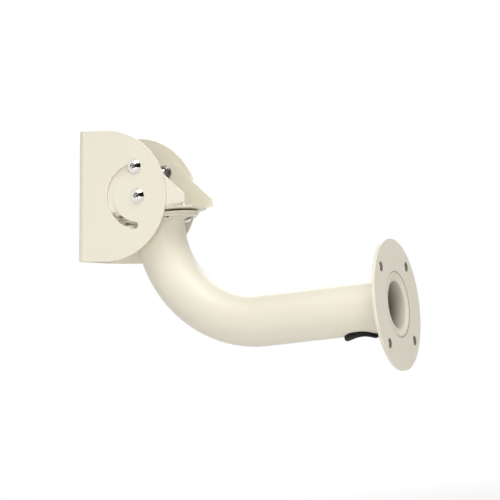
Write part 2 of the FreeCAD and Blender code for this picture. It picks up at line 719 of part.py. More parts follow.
def build_pan_nut(name, formula):
    body = new_body(name)
    hexagon = new_sketch(body, name + "_hexagon", "XY_Plane")
    draw_hexagon(hexagon, "pan_nut_flats")
    pad(body, hexagon, "pan_nut_height")
    chamfer_nut(body, name, "pan_nut_flats", "pan_nut_height")
    bore = new_sketch(body, name + "_bore", "XY_Plane")
    draw_circle(bore, "0", "0", "pan_screw_diameter / 2")
    pocket(body, bore)
    place(body, formula)


# Pivot screws pass through the cheeks into the ears. Lock screws sit above them, in the slots.
def build_tilt_screws():
    sides = [("near", "-", "rotation(vector(1; 0; 0); 90)", "rotation(vector(1; 0; 0); -90)"),
             ("far", "", "rotation(vector(1; 0; 0); -90)", "rotation(vector(1; 0; 0); 90)")]
    for side, sign, outwards, inwards in sides:
        for use, rise in (("pivot", "0"), ("lock", "slot_radius")):
            seat = at("0", f"{sign}(mount_width / 2)", rise, outwards)
            build_screw(f"{use}_screw_{side}", "tilt_screw", "pivot_frame.Placement * " + seat)
            ear = at("0", f"{sign}(yoke_width / 2 - yoke_thickness)", rise, inwards)
            build_flange_nut(f"{use}_nut_{side}", "pivot_frame.Placement * " + ear)


# Pan screws come up through the head plate's slots. Their nuts stand on the yoke's base.
def build_pan_screws():
    down = "rotation(vector(1; 0; 0); 180)"
    for index, angle in enumerate(PAN_SCREW_ANGLES, start=1):
        x = f"pan_screw_circle / 2 * cos({angle})"
        y = f"pan_screw_circle / 2 * sin({angle})"
        build_screw(f"pan_screw_{index}", "pan_screw", "head_frame.Placement * " + at(x, y, "-plate_thickness", down))
        build_pan_nut(f"pan_nut_{index}", "head_frame.Placement * " + at(x, y, YOKE_Z + " + yoke_thickness"))


build_wall_flange()
build_arm_tube()
build_welds()
build_cable_grommet()
build_head_plate()
build_pan_plate()
build_friction_washer()
build_yoke()
build_camera_mount()
build_tilt_screws()
build_pan_screws()
doc.recompute()

for thing in doc.Objects:
    if "Invalid" in thing.State or "Error" in thing.State:
        raise RuntimeError(f"{thing.Name} is {thing.State}")

os.makedirs("parts", exist_ok=True)
for piece in pieces:
    shape = piece.Shape
    if shape.isNull() or not shape.isValid():
        raise RuntimeError(f"{piece.Label} has no valid shape")
    shape.exportStep(f"parts/{piece.Label}.step")
    box = shape.BoundBox
    print(f"{piece.Label}: {len(shape.Solids)} solid, {shape.Volume:.0f} mm3, x {box.XMin:.1f} {box.XMax:.1f}, "
          f"y {box.YMin:.1f} {box.YMax:.1f}, z {box.ZMin:.1f} {box.ZMax:.1f}")
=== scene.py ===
# %% [markdown]
# # A wall bracket for a camera housing
# The bracket is a painted steel arm: a round flange for the wall, a bent tube, and a head of folded
# sheet that pans and tilts. The solids are loaded first and stay where they are. Everything that
# follows dresses them, in metres and in the same frame, with +X into the wall and +Z up.

# %% Load the frame
import json
import math

import bmesh
import bpy
from mathutils import Matrix, Vector


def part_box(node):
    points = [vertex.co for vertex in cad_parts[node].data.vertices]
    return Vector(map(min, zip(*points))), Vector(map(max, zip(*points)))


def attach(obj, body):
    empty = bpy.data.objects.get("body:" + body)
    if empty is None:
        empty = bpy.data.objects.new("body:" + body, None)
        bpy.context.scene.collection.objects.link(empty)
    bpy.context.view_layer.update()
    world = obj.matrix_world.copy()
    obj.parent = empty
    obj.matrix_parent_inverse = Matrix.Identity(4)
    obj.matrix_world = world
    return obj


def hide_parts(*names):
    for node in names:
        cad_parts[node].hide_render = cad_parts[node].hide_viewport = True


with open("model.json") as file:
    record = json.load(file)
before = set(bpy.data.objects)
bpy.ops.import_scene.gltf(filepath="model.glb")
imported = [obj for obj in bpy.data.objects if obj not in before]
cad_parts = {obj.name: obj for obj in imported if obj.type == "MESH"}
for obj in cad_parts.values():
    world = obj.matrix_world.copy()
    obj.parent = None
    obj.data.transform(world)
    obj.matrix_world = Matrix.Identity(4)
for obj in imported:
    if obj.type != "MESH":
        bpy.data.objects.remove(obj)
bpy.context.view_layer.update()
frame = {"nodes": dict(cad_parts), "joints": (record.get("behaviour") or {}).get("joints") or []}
MM = 0.001


def in_mm(values):
    """Lengths in millimetres, for printing."""
    return [round(value / MM, 1) for value in values]


# %% [markdown]
# ## The camera
# The picture was taken with a long lens from a little below the arm, in front and to the right of
# it, with a slight roll. From a metre and a half such a lens keeps the head's parallel edges nearly
# parallel. A constraint could aim the camera too, but a matrix from three angles is exact.

# %% Place the camera
PHOTO_AZIMUTH = math.radians(24.062)
PHOTO_ELEVATION = math.radians(-3.974)
PHOTO_ROLL = math.radians(6.358)
PHOTO_DISTANCE = 1504.7 * MM
LOOK_AT = Vector((-139.69, 0, 67.56)) * MM
LENS = 115.2


def in_scene(name, data):
    """A new object, linked to the scene."""
    thing = bpy.data.objects.new(name, data)
    bpy.context.scene.collection.objects.link(thing)
    return thing


backwards = Vector((
    math.sin(PHOTO_AZIMUTH) * math.cos(PHOTO_ELEVATION),
    -math.cos(PHOTO_AZIMUTH) * math.cos(PHOTO_ELEVATION),
    math.sin(PHOTO_ELEVATION)))
level_right = Vector((math.cos(PHOTO_AZIMUTH), math.sin(PHOTO_AZIMUTH), 0))
level_up = backwards.cross(level_right)
rolled_right = level_right * math.cos(PHOTO_ROLL) - level_up * math.sin(PHOTO_ROLL)
rolled_up = level_right * math.sin(PHOTO_ROLL) + level_up * math.cos(PHOTO_ROLL)
axes = Matrix((rolled_right, rolled_up, backwards)).transposed()

camera = in_scene("camera", bpy.data.cameras.new("camera"))
camera.data.lens = LENS
camera.data.clip_end = 50
camera.matrix_world = Matrix.Translation(LOOK_AT + backwards * PHOTO_DISTANCE) @ axes.to_4x4()
bpy.context.scene.camera = camera
print("camera at", in_mm(camera.matrix_world.translation), "mm")

# %% [markdown]
# ## Small helpers for node trees
# Materials and Geometry Nodes are both trees of nodes, so the same short functions serve both: one
# runs a wire, one adds a node and sets its properties and inputs, and two do a step of arithmetic.
# What an input gets may be a value, an output, or a node, which stands for its first output.

# %% Node helpers
def wire(tree, value, socket):
    """Gives an input a value, or connects it to an output or to a node's first output."""
    if isinstance(value, bpy.types.Node):
        value = value.outputs[0]
    if isinstance(value, bpy.types.NodeSocket):
        tree.links.new(value, socket)
    else:
        socket.default_value = value


def add(tree, kind, inputs=None, **settings):
    """A new node with its properties set and its inputs filled, by name or by number."""
    node = tree.nodes.new(kind)
    for name, value in settings.items():
        setattr(node, name, value)
    for key, value in (inputs or {}).items():
        wire(tree, value, node.inputs[key])
    return node


def calculate(tree, operation, *values, clamp=False):
    """One step of arithmetic with numbers, whatever kind of tree it is in."""
    inputs = dict(enumerate(values))
    return add(tree, "ShaderNodeMath", inputs, operation=operation, use_clamp=clamp)


def vector(tree, operation, *values):
    """One step of arithmetic with vectors. LENGTH gives a number, the others give a vector."""
    node = add(tree, "ShaderNodeVectorMath", dict(enumerate(values)), operation=operation)
    return node.outputs["Value" if operation == "LENGTH" else "Vector"]


# %% [markdown]
# ## Paint, metal and rubber
# Each finish is one function that builds a material from procedural nodes. All of them read Object
# coordinates: the pieces keep their place in their mesh, so the pattern is in metres and stays on
# the piece when the head moves. A picture texture could not be as sharp from every distance.

# %% Material helpers
def new_material(name, settings):
    """A material with a Principled shader. Values that are the same all over are set on it here."""
    material = bpy.data.materials.new(name)
    material.use_nodes = True
    tree = material.node_tree
    shader = tree.nodes["Principled BSDF"]
    for key, value in settings.items():
        shader.inputs[key].default_value = value
    place = add(tree, "ShaderNodeTexCoord").outputs["Object"]
    return material, tree, shader, place


def speckle(tree, place, size, detail=2.0, stretch=(1, 1, 1)):
    """Noise from 0 to 1 whose spots are about size metres across, longer where stretch is small."""
    where = add(tree, "ShaderNodeMapping", {"Vector": place, "Scale": [s / size for s in stretch]})
    return add(tree, "ShaderNodeTexNoise", {"Vector": where, "Scale": 1.0, "Detail": detail})


def spread(tree, value, low, high, start=0.3, end=0.7):
    """Maps start to low and end to high. Noise seldom leaves the range from 0.3 to 0.7."""
    return add(tree, "ShaderNodeMapRange", {
        "Value": value, "From Min": start, "From Max": end, "To Min": low, "To Max": high})


def blend_colours(tree, amount, first, second):
    """The first colour where the amount is 0 and the second where it is 1."""
    node = add(tree, "ShaderNodeMix", {"Factor": amount}, data_type="RGBA")
    colours = [socket for socket in node.inputs if socket.type == "RGBA"]
    for socket, colour in zip(colours, (first, second)):
        wire(tree, colour, socket)
    return next(socket for socket in node.outputs if socket.type == "RGBA")


def bump(tree, shader, height, depth):
    """Relief: height is 0 to 1 and depth is how many metres that stands for."""
    node = add(tree, "ShaderNodeBump", {"Height": height, "Distance": depth})
    wire(tree, node, shader.inputs["Normal"])


# %% [markdown]
# The arm and the sheet parts carry a cream powder coat, baked on. It is smooth from a step away,
# and close up it has the fine orange peel that the powder leaves as it melts. The colour varies
# by a few percent at most, and the gloss a little more, as on any sprayed part. For a piece with
# painted shade in its hollows, a second function says where that shade falls.

# %% Cream powder coat
CREAM = (0.805, 0.765, 0.640, 1)
CREAM_DEEPER = (0.788, 0.745, 0.615, 1)
# Near-black painted shade for the inside of the tube.
BORE_SHADE = (0.030, 0.026, 0.024, 1)
BARE_ROUGHNESS = 0.5
CLOUD_SIZE = 45 * MM
GLOSS_SIZE = 6 * MM
GLOSS_RANGE = (0.36, 0.46)
PEEL_SIZE = 1.1 * MM
PEEL_DEPTH = 0.012 * MM


def cream_paint(name, shade_mask=None, shade_colour=BORE_SHADE):
    """The powder coat. Its second argument says where painted shade darkens it, toward the third
    colour.
    """
    material, tree, shader, place = new_material(name, {"IOR": 1.5})
    cloud = speckle(tree, place, CLOUD_SIZE)
    colour = blend_colours(tree, spread(tree, cloud, 0, 1), CREAM, CREAM_DEEPER)
    rough = spread(tree, speckle(tree, place, GLOSS_SIZE, detail=3.0), *GLOSS_RANGE)
    # Painted shade: where the mask says, the colour goes dark and the gloss drops.
    if shade_mask:
        shade_amount = shade_mask(tree, place)
        colour = blend_colours(tree, shade_amount, colour, shade_colour)
        rougher = calculate(tree, "MULTIPLY", shade_amount, BARE_ROUGHNESS)
        rough = calculate(tree, "ADD", rough, rougher, clamp=True)
    wire(tree, colour, shader.inputs["Base Color"])
    wire(tree, rough, shader.inputs["Roughness"])
    bump(tree, shader, speckle(tree, place, PEEL_SIZE, detail=1.0), PEEL_DEPTH)
    return material


paint = cream_paint("cream_powder_coat")
print("paint:", paint.name, CREAM)

# %% [markdown]
# Inside the tube the paint is darkened with painted shade, to near black a short way in from the
# wall, and its gloss drops there. The distance from the tube's path says what is inside, and the
# depth from the wall says how dark the shade is. The path is a line, an arc and a line, and
# clipping a place at the arc's centre gives all three with one formula. A second material on the
# inner faces would end at a hard line.

# %% Painted shade in the tube
TUBE_RADIUS = 24.0 * MM
BEND_RADIUS = 99.5 * MM
BORE_SKIN = 23 * MM
SHADE_DEPTH = 21 * MM
SIDE_VIEW = (1, 0, 1)
tube_low, tube_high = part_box("arm_tube")
pan_x = tube_low.x + TUBE_RADIUS
BEND_CENTRE = Vector((pan_x + BEND_RADIUS, 0, BEND_RADIUS))


def distance(tree, place, keep, centre=(0, 0, 0)):
    """How far a place is from a centre, measured only along the axes that keep has as 1."""
    offset = vector(tree, "SUBTRACT", place, centre)
    return vector(tree, "LENGTH", vector(tree, "MULTIPLY", offset, keep))


def bore_shade(tree, place):
    """How much painted shade the tube's inside gets: none outside it, and more the deeper a place
    is.
    """
    clipped = vector(tree, "MINIMUM", vector(tree, "MULTIPLY", place, SIDE_VIEW), BEND_CENTRE)
    rise = calculate(tree, "SUBTRACT", distance(tree, clipped, SIDE_VIEW, BEND_CENTRE), BEND_RADIUS)
    split = add(tree, "ShaderNodeSeparateXYZ", {"Vector": place}).outputs
    off_path = add(tree, "ShaderNodeCombineXYZ", {"X": rise, "Y": split["Y"]})
    inside = calculate(tree, "LESS_THAN", vector(tree, "LENGTH", off_path), BORE_SKIN)
    return calculate(tree, "MULTIPLY", spread(tree, split["X"], 0, 1, 0, -SHADE_DEPTH), inside)


tube_paint = cream_paint("cream_powder_coat_tube", bore_shade)
print("pan axis at x =", round(pan_x / MM, 1), "mm")

# %% [markdown]
# The flange's holes and the crevice round the weld get painted shade: their walls and the groove
# are darkened where their shadow falls. The four holes lie alike in the four quarters, so the
# absolute value of a place folds them onto one, and one distance finds all four.

# %% Painted shade in the flange's holes and crevice
# Painted shade for the walls of the holes and the crevice round the weld.
HOLE_SHADE = (0.22, 0.19, 0.15, 1)
BOLT_CIRCLE = 96.5 * MM
BOLT_ANGLE = math.radians(45)
HOLE_OFFSET = BOLT_CIRCLE / 2 * math.cos(BOLT_ANGLE)
HOLE_SKIN = 4.58 * MM
CREVICE_RADIUS = 29.8 * MM
CREVICE_WIDTH = 0.9 * MM
CREVICE_SHADE = 0.8
FACE_VIEW = (0, 1, 1)


def hole_and_crevice_shade(tree, place):
    """Painted shade: 1 on the walls of the flange's four holes, and less in the crevice round the
    weld.
    """
    quarter = vector(tree, "ABSOLUTE", place)
    off_hole = distance(tree, quarter, FACE_VIEW, (0, HOLE_OFFSET, HOLE_OFFSET))
    in_hole = calculate(tree, "LESS_THAN", off_hole, HOLE_SKIN)
    off_weld = calculate(tree, "SUBTRACT", distance(tree, place, FACE_VIEW), CREVICE_RADIUS)
    crevice = spread(tree, calculate(tree, "ABSOLUTE", off_weld), CREVICE_SHADE, 0, 0, CREVICE_WIDTH)
    return calculate(tree, "MAXIMUM", in_hole, crevice)


flange_paint = cream_paint("cream_powder_coat_flange", hole_and_crevice_shade, HOLE_SHADE)
print("holes at", round(HOLE_OFFSET / MM, 2), "mm from the flange's middle lines")

# %% [markdown]
# The screws that show are chrome plated: a mirror with the faint polishing haze of a cheap screw.
# The nuts inside the yoke are dark zinc, whose passivation leaves soft clouds of grey and brown.
# Metal is a base colour with Metallic at 1, and its character is all in its roughness. One function
# serves these and the black materials below.

# %% Chrome and dark zinc
def speckled(name, settings, spots, colours, rough, relief, depth):
    """A finish with one noise for colour and roughness, and one, spots or another, for relief."""
    material, tree, shader, place = new_material(name, settings)
    pattern = speckle(tree, place, **spots)
    colour = blend_colours(tree, spread(tree, pattern, 0, 1), *colours)
    wire(tree, colour, shader.inputs["Base Color"])
    wire(tree, spread(tree, pattern, *rough), shader.inputs["Roughness"])
    bump(tree, shader, speckle(tree, place, **relief), depth)
    return material


bright_metal = speckled(
    "bright_chrome", {"Metallic": 1.0}, {"size": 1.6 * MM, "detail": 3.0},
    [(0.86, 0.84, 0.81, 1), (0.78, 0.76, 0.73, 1)], (0.05, 0.13), {"size": 0.7 * MM}, 0.004 * MM)
dark_metal = speckled(
    "dark_zinc", {"Metallic": 1.0}, {"size": 2.5 * MM, "detail": 4.0},
    [(0.30, 0.29, 0.28, 1), (0.19, 0.17, 0.15, 1)], (0.28, 0.45), {"size": 0.4 * MM}, 0.01 * MM)
print("metals:", bright_metal.name, "and", dark_metal.name)

# %% [markdown]
# Two black materials are left. The trim of the cable hole is moulded rubber, matt with a slight
# bloom. The friction washer in the head is pressed fibre, a little browner, with short strands
# that lie in its plane: the same noise, stretched thin along one axis. Its near black is also
# painted shade, standing for the shadow in the gap under the yoke.

# %% Rubber, and pressed fibre with painted shade
rubber = speckled(
    "black_rubber", {"IOR": 1.5, "Specular IOR Level": 0.2}, {"size": 3 * MM, "detail": 3.0},
    [(0.005, 0.005, 0.005, 1), (0.011, 0.011, 0.010, 1)], (0.5, 0.68),
    {"size": 0.3 * MM}, 0.02 * MM)
STRANDS = {"size": 1.2 * MM, "detail": 3.0, "stretch": (0.3, 1.0, 3.0)}
fibre_and_shade = speckled(
    "pressed_fibre", {"IOR": 1.5}, STRANDS,
    [(0.020, 0.018, 0.016, 1), (0.050, 0.044, 0.038, 1)], (0.7, 0.85), STRANDS, 0.04 * MM)
print("black materials:", rubber.name, "and", fibre_and_shade.name)

# %% [markdown]
# ## Sheet parts with rounded paint edges
# The flange, the two plates, the yoke and the camera mount are sheet steel. Their shape is right in
# the solids, but the paint rounds every cut edge by a few tenths of a millimetre, and that round
# edge is the bright line round each plate and hole. A solid's mesh is loose triangles, so a copy is
# merged first, and its flat faces become single ones. Then a Bevel modifier rounds the edges that
# are nearly square. Flatter ones are steps of a bend or a fillet of the solid.

# %% Merged copies with a Bevel
MERGE = 0.002 * MM
FLAT = math.radians(0.3)
SHARP = math.radians(32)
SQUARE = math.radians(80)
PAINT_EDGE = 0.3 * MM


def new_piece(name, mesh, body, nodes, material=None):
    """An object that rides on a body, stands in for the CAD nodes that it hides, and takes the
    material given.
    """
    mesh.name = name
    piece = in_scene(name, mesh)
    if material:
        mesh.materials.clear()
        mesh.materials.append(material)
    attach(piece, body)
    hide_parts(*nodes)
    return piece


def evaluated(thing, *helpers):
    """The object's mesh with its modifiers in it, as a plain mesh. The objects are removed."""
    graph = bpy.context.evaluated_depsgraph_get()
    mesh = bpy.data.meshes.new_from_object(thing.evaluated_get(graph), depsgraph=graph)
    for used in (thing, *helpers):
        bpy.data.objects.remove(used)
    return mesh


def joined(*meshes):
    """The meshes side by side in one bmesh."""
    shape = bmesh.new()
    for mesh in meshes:
        shape.from_mesh(mesh)
    return shape


def merged(*meshes):
    """The meshes in one bmesh, with vertices that coincide made one."""
    shape = joined(*meshes)
    bmesh.ops.remove_doubles(shape, verts=shape.verts, dist=MERGE)
    return shape


def to_mesh(shape, name, smooth=True):
    """A plain mesh from a bmesh, which is used up."""
    mesh = bpy.data.meshes.new(name)
    shape.to_mesh(mesh)
    shape.free()
    for face in mesh.polygons:
        face.use_smooth = smooth
    return mesh


def softened(shape, width, corner=SHARP):
    """A plain mesh of the shape, with edges over the corner angle rounded, and smooth shading."""
    holder = in_scene("softened", to_mesh(shape, "softened"))
    edge = holder.modifiers.new("edge", "BEVEL")
    edge.width = width
    edge.segments = 2
    edge.limit_method = "ANGLE"
    edge.angle_limit = corner
    edge.use_clamp_overlap = False
    edge.miter_outer = "MITER_ARC"
    even = holder.modifiers.new("even", "WEIGHTED_NORMAL")
    even.keep_sharp = True
    return evaluated(holder)


def true_faces(node):
    """A CAD node as a bmesh whose flat faces are single."""
    shape = merged(frame["nodes"][node].data)
    bmesh.ops.dissolve_limit(shape, angle_limit=FLAT, verts=shape.verts, edges=shape.edges)
    return shape


SHEET_PARTS = {
    "wall_flange": "wall_arm",
    "head_plate": "wall_arm",
    "pan_plate": "pan_yoke",
    "yoke": "pan_yoke",
    "camera_mount": "camera_cradle",
}
for node, body in SHEET_PARTS.items():
    mesh = softened(true_faces(node), PAINT_EDGE, SQUARE)
    finish = flange_paint if node == "wall_flange" else paint
    piece = new_piece(f"painted_{node}", mesh, body, [node], finish)
    print(piece.name, len(mesh.polygons), "faces")

# %% [markdown]
# The friction washer lies between the pan plate and the yoke, and shows as a dark line; its black
# is also painted shade for the gap under the yoke. It is stamped, so its edges are only a little
# worn.
# It has no fillets, so every sharp edge is rounded.

# %% The washer between the plate and the yoke
WASHER_EDGE = 0.2 * MM
washer_mesh = softened(true_faces("friction_washer"), WASHER_EDGE)
# Its near-black finish is painted shade for the gap under the yoke.
new_piece("fibre_washer", washer_mesh, "pan_yoke", ["friction_washer"], fibre_and_shade)
print("washer:", len(washer_mesh.polygons), "faces")

# %% [markdown]
# ## The arm tube
# The tube is cut, bent on a former and drilled for the cable, and its shape follows a rule: a
# circle along a line, an arc and a line. So it is a Geometry Nodes tree, and three short functions
# begin such a tree, end it and run it. A swept curve would do for the tube, but not for its hole.

# %% Helpers for Geometry Nodes groups
NUMBER = ("Float", 0.0)


def new_group(name, inputs):
    """A group with a geometry output. inputs is name: (socket kind, default value)."""
    tree = bpy.data.node_groups.new(name, "GeometryNodeTree")
    for key, (kind, value) in inputs.items():
        socket = tree.interface.new_socket(
            name=key, in_out="INPUT", socket_type=f"NodeSocket{kind}")
        if value is not None:
            socket.default_value = value
    tree.interface.new_socket(name="Geometry", in_out="OUTPUT", socket_type="NodeSocketGeometry")
    given = add(tree, "NodeGroupInput").outputs
    return tree, given, add(tree, "NodeGroupOutput")


def end_group(tree, geometry, material, output):
    """Makes instances real, gives them their material and sends them out of the group."""
    real = add(tree, "GeometryNodeRealizeInstances", {"Geometry": geometry})
    finished = add(tree, "GeometryNodeSetMaterial", {"Geometry": real, "Material": material})
    wire(tree, finished, output.inputs["Geometry"])
    return tree


def run_group(tree, values, start=None):
    """Runs a group on a mesh, or on nothing, and gives back the plain mesh that it makes."""
    holder = in_scene(tree.name, start or bpy.data.meshes.new(tree.name))
    modifier = holder.modifiers.new(tree.name, "NODES")
    modifier.node_group = tree
    for socket in tree.interface.items_tree:
        if socket.in_out == "INPUT" and socket.name in values:
            modifier[socket.identifier] = values[socket.name]
    return evaluated(holder)


# %% [markdown]
# The path runs out from the wall along -X and then up to the head. A mesh line of three points is
# moved to the path's ends and corner, becomes a curve, and Fillet Curve puts the bend in. The
# overrun pushes both ends out: the same path serves a core that cuts the bore through both ends.

# %% The bent path
PATH_SIZES = ("Recess", "Reach", "Height", "Bend Radius", "Step")
BEND_STEPS = 64


def bent_path_group():
    """A line, an arc and a line in the XZ plane. Its three points have the indices 0, 1 and 2."""
    tree, given, output = new_group("bent_path", dict.fromkeys((*PATH_SIZES, "Overrun"), NUMBER))
    index = add(tree, "GeometryNodeInputIndex")
    past_start = calculate(tree, "GREATER_THAN", index, 0.5)
    past_corner = calculate(tree, "GREATER_THAN", index, 1.5)
    start = calculate(tree, "SUBTRACT", given["Overrun"], given["Recess"])
    travel = calculate(tree, "ADD", given["Reach"], start)
    x = calculate(tree, "SUBTRACT", start, calculate(tree, "MULTIPLY", travel, past_start))
    top = calculate(tree, "ADD", given["Height"], given["Overrun"])
    z = calculate(tree, "MULTIPLY", top, past_corner)
    line = add(tree, "GeometryNodeMeshLine", {"Count": 3})
    corner = add(tree, "ShaderNodeCombineXYZ", {"X": x, "Z": z})
    moved = add(tree, "GeometryNodeSetPosition", {"Geometry": line, "Position": corner})
    curve = add(tree, "GeometryNodeMeshToCurve", {"Mesh": moved})
    bend = add(tree, "GeometryNodeFilletCurve", {
        "Curve": curve, "Radius": given["Bend Radius"], "Count": BEND_STEPS}, mode="POLY")
    even = add(tree, "GeometryNodeResampleCurve", {
        "Curve": bend, "Length": given["Step"]}, mode="LENGTH")
    wire(tree, even, output.inputs["Geometry"])
    return tree


bent_path = bent_path_group()
print("bent path:", len(bent_path.nodes), "nodes")

# %% [markdown]
# Curve to Mesh runs a circle along the path, once for the tube and once for the bore. The hole for
# the cable was milled with a round cutter that moved along the tube: the hull of a cylinder at each
# end of its way. One Boolean takes both away, as a real tube has one skin and no hidden faces.

# %% The tube along the path
TUBE_WALL = 2.3 * MM
TUBE_STEP = 3 * MM
TUBE_SIDES = 96
BORE_OVERRUN = 10 * MM
HOLE_LENGTH = 27.4 * MM
HOLE_WIDTH = 20.4 * MM


def smooth_by_angle(tree, geometry, angle):
    """Smooth shading, with the edges left sharp where two faces meet at more than the angle."""
    smooth = add(tree, "GeometryNodeSetShadeSmooth", {"Geometry": geometry, "Shade Smooth": True})
    turn = add(tree, "GeometryNodeInputMeshEdgeAngle").outputs["Unsigned Angle"]
    flat_enough = calculate(tree, "LESS_THAN", turn, angle)
    return add(tree, "GeometryNodeSetShadeSmooth", {
        "Geometry": smooth, "Shade Smooth": flat_enough}, domain="EDGE")


def rod_on_path(tree, given, radius, overrun):
    """A solid round bar along the bent path."""
    path = add(tree, "GeometryNodeGroup", node_tree=bent_path)
    for key in PATH_SIZES:
        wire(tree, given[key], path.inputs[key])
    wire(tree, overrun, path.inputs["Overrun"])
    circle = add(tree, "GeometryNodeCurvePrimitiveCircle", {
        "Resolution": given["Sides"], "Radius": radius})
    return add(tree, "GeometryNodeCurveToMesh", {
        "Curve": path, "Profile Curve": circle, "Fill Caps": True})


def milled_slot(tree, given):
    """The way of a round cutter from one end of the cable hole to the other."""
    cutter = add(tree, "GeometryNodeMeshCylinder", {
        "Vertices": given["Sides"], "Radius": calculate(tree, "MULTIPLY", given["Hole Width"], 0.5),
        "Depth": calculate(tree, "MULTIPLY", given["Radius"], 2.0)})
    both_ends = add(tree, "GeometryNodeJoinGeometry")
    down = calculate(tree, "MULTIPLY", given["Radius"], -1.0)
    straight = calculate(tree, "SUBTRACT", given["Hole Length"], given["Hole Width"])
    for side in (-0.5, 0.5):
        half_way = calculate(tree, "MULTIPLY", straight, side)
        left = calculate(tree, "SUBTRACT", half_way, given["Hole Reach"])
        end = add(tree, "ShaderNodeCombineXYZ", {"X": left, "Z": down})
        placed = add(tree, "GeometryNodeTransform", {"Geometry": cutter, "Translation": end})
        wire(tree, placed, both_ends.inputs["Geometry"])
    return add(tree, "GeometryNodeConvexHull", {"Geometry": both_ends})


def tube_group():
    """The bent tube with its bore and its cable hole."""
    sizes = (*PATH_SIZES, "Radius", "Wall", "Hole Reach", "Hole Length", "Hole Width")
    tree, given, output = new_group("arm_tube", dict.fromkeys(sizes, NUMBER) | {
        "Sides": ("Int", TUBE_SIDES), "Material": ("Material", None)})
    bore = calculate(tree, "SUBTRACT", given["Radius"], given["Wall"])
    bar = rod_on_path(tree, given, given["Radius"], 0.0)
    cut = add(tree, "GeometryNodeMeshBoolean", {"Mesh 1": bar}, operation="DIFFERENCE")
    wire(tree, rod_on_path(tree, given, bore, BORE_OVERRUN), cut.inputs["Mesh 2"])
    wire(tree, milled_slot(tree, given), cut.inputs["Mesh 2"])
    shaded = smooth_by_angle(tree, cut, SHARP)
    return end_group(tree, shaded, given["Material"], output)


hole_low, hole_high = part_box("cable_grommet")
hole_reach = -(hole_low.x + hole_high.x) / 2
tube_mesh = run_group(tube_group(), {
    "Recess": -tube_high.x, "Reach": -pan_x, "Height": tube_high.z, "Bend Radius": BEND_RADIUS,
    "Step": TUBE_STEP, "Sides": TUBE_SIDES, "Radius": TUBE_RADIUS, "Wall": TUBE_WALL,
    "Hole Reach": hole_reach, "Hole Length": HOLE_LENGTH, "Hole Width": HOLE_WIDTH,
    "Material": tube_paint})
new_piece("painted_arm_tube", tube_mesh, "wall_arm", ["arm_tube"])
print("tube:", len(tube_mesh.polygons), "faces")

# %% [markdown]
# ## Weld beads
# The tube is welded to the flange on both sides and under the head plate. A hand-held torch leaves
# a bead of overlapping pools, and the paint softens them. A bead is a ring with a small closed
# section, made here by turning an outline. The same function turns the screws' heads later on.

# %% Rings and turned shapes
def join_rings(shape, rings, closed=False, capped=False):
    """Faces from each ring of vertices to the next, facing out. A ring may be a single vertex."""
    steps = max(len(ring) for ring in rings)
    pairs = list(zip(rings, rings[1:]))
    if closed:
        pairs.append((rings[-1], rings[0]))
    for first, second in pairs:
        for step in range(steps):
            after = (step + 1) % steps
            corners = [first[step % len(first)], first[after % len(first)],
                       second[after % len(second)], second[step % len(second)]]
            shape.faces.new([v for i, v in enumerate(corners) if v not in corners[:i]])
    if capped:
        shape.faces.new(reversed(rings[0]))
        shape.faces.new(rings[-1])
    bmesh.ops.recalc_face_normals(shape, faces=shape.faces)


def polar(radius, angle, height):
    """The point at a radius and an angle about Z."""
    return radius * math.cos(angle), radius * math.sin(angle), height


def turned(outline, steps, closed=False):
    """A shape turned about Z. outline is (radius, height) points; a closed one makes a ring."""
    shape = bmesh.new()
    rings = []
    for radius, height in outline:
        if radius == 0:
            rings.append([shape.verts.new((0, 0, height))])
            continue
        angles = [2 * math.pi * step / steps for step in range(steps)]
        rings.append([shape.verts.new(polar(radius, angle, height)) for angle in angles])
    join_rings(shape, rings, closed)
    return shape


# %% [markdown]
# A second tree gives the ring its pools and some unevenness: a wave and seeded noise, both along
# the normal. The absolute value of a sine has round tops and sharp valleys, like the ripples of a
# bead, and the phase lags with the height, so the ripples lean as a torch leaves them. Sculpting
# would give one bead, and the tree gives three with other sizes and seeds.

# %% Pools along a bead
POOL_LAG = 700.0
POOL_MEAN = 0.6


def weld_group():
    """Moves a ring about Z in and out along its normal: pools round the ring, and seeded noise."""
    sizes = ("Pool Depth", "Noise Size", "Noise Depth", "Seed")
    tree, given, output = new_group("weld_pools", {
        "Geometry": ("Geometry", None), "Pools": ("Int", 60), **dict.fromkeys(sizes, NUMBER),
        "Material": ("Material", None)})
    place = add(tree, "GeometryNodeInputPosition")
    split = add(tree, "ShaderNodeSeparateXYZ", {"Vector": place}).outputs
    angle = calculate(tree, "ARCTAN2", split["Y"], split["X"])
    lag = calculate(tree, "MULTIPLY", split["Z"], POOL_LAG)
    phase = calculate(tree, "ADD", calculate(tree, "MULTIPLY", angle, given["Pools"]), lag)
    wave = calculate(tree, "SINE", calculate(tree, "MULTIPLY", phase, 0.5))
    ripple = calculate(tree, "SUBTRACT", calculate(tree, "ABSOLUTE", wave), POOL_MEAN)
    pools = calculate(tree, "MULTIPLY", ripple, given["Pool Depth"])
    scale = calculate(tree, "DIVIDE", 1.0, given["Noise Size"])
    rough = add(tree, "ShaderNodeTexNoise", {
        "Vector": place, "W": given["Seed"], "Scale": scale, "Detail": 2.0}, noise_dimensions="4D")
    centred = calculate(tree, "SUBTRACT", rough, 0.5)
    uneven = calculate(tree, "MULTIPLY", centred, given["Noise Depth"])
    amount = calculate(tree, "ADD", pools, uneven)
    normal = add(tree, "GeometryNodeInputNormal")
    offset = add(tree, "ShaderNodeVectorMath", {0: normal, "Scale": amount}, operation="SCALE")
    moved = add(tree, "GeometryNodeSetPosition", {"Geometry": given["Geometry"], "Offset": offset})
    return end_group(tree, moved, given["Material"], output)


weld_pools = weld_group()
print("weld pools:", len(weld_pools.nodes), "nodes")

# %% [markdown]
# The bead at the wall fills a countersink and dips into the tube's end. The two others are fillets:
# a triangle between tube and plate with a bulging face. What would stand out of the wall face is
# cut off at the face, as a grinder does it so that the flange sits flat on the wall.

